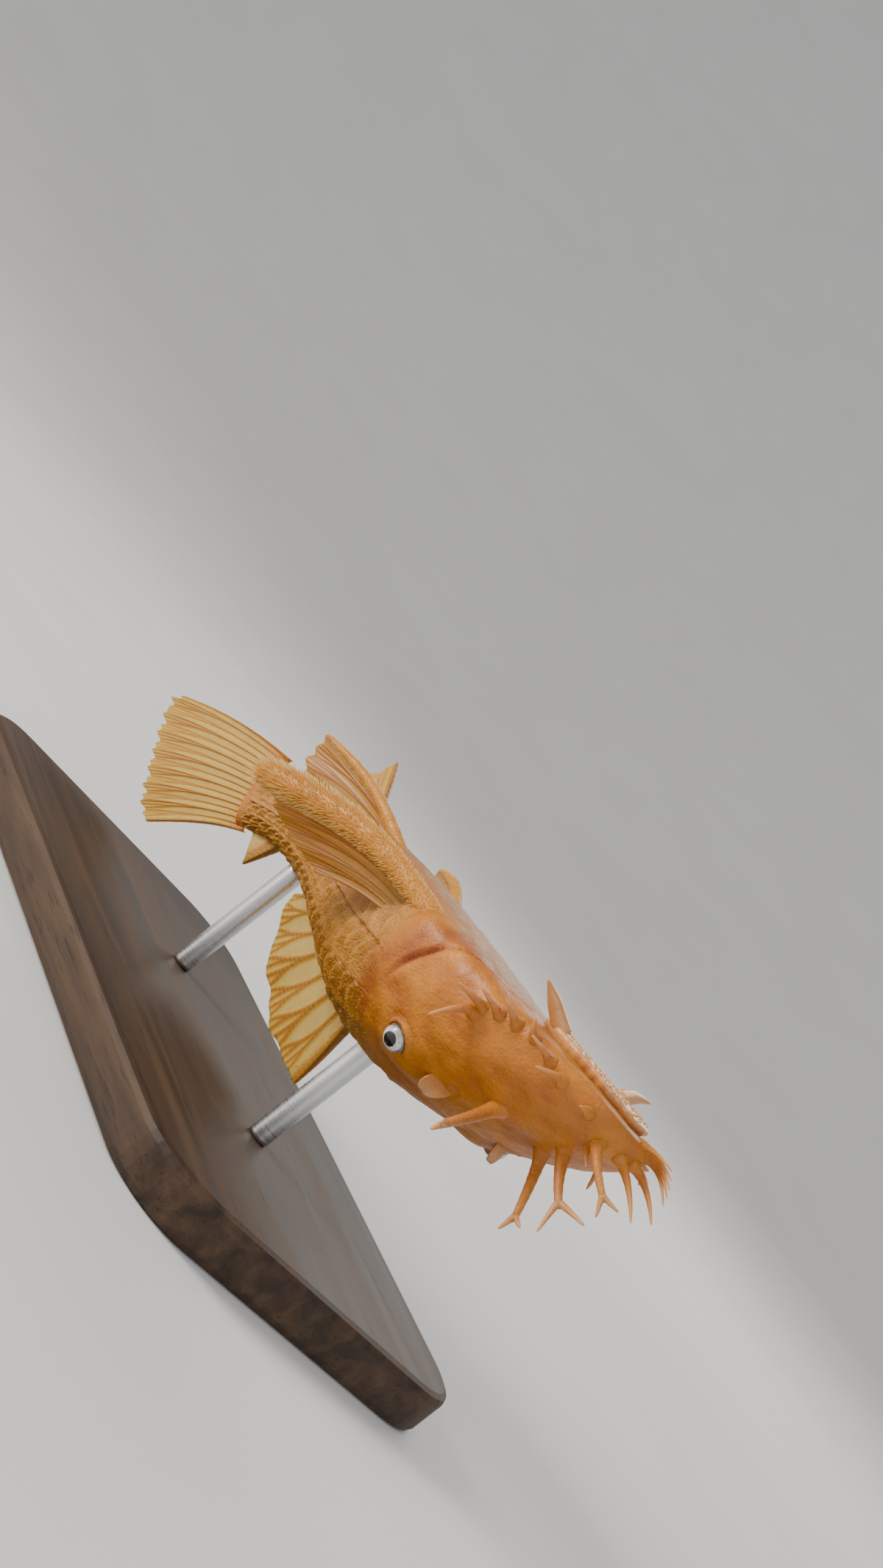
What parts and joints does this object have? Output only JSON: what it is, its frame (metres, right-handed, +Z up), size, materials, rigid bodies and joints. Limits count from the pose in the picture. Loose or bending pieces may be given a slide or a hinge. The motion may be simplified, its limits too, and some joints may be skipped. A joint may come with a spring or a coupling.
{
  "type": "bristlenose pleco",
  "caption": "Life-size golden bristlenose pleco, an adult male with branched snout tentacles, held belly up by a plain stand.",
  "frame": {"origin": "middle of the part's box, on the underside of the stand's base", "axes": "+X towards the fish's snout, +Y towards its right side, +Z up, which is towards its belly"},
  "size_m": [0.13, 0.058, 0.0449],
  "materials": {
    "skin": "moist golden orange fish skin over bony plates",
    "lips": "soft pale sucker lips",
    "fin": "thin yellow fin membrane over branched rays",
    "eye": "wet dark eye with a pale iris",
    "base": "dark satin wood",
    "rod": "plain brushed steel rod"
  },
  "bodies": {
    "root": {"head": "skin", "mouth_disc": "lips", "trunk": "skin", "tail_stalk": "skin", "dorsal_fin": "fin", "adipose_fin": "fin", "tail_fin": "fin", "anal_fin": "fin", "pectoral_fin_left": "fin", "pectoral_fin_right": "fin", "pelvic_fin_left": "fin", "pelvic_fin_right": "fin", "eye_left": "eye", "eye_right": "eye", "stand_base": "base", "stand_rod_front": "rod", "stand_rod_rear": "rod"}
  },
  "joints": []
}
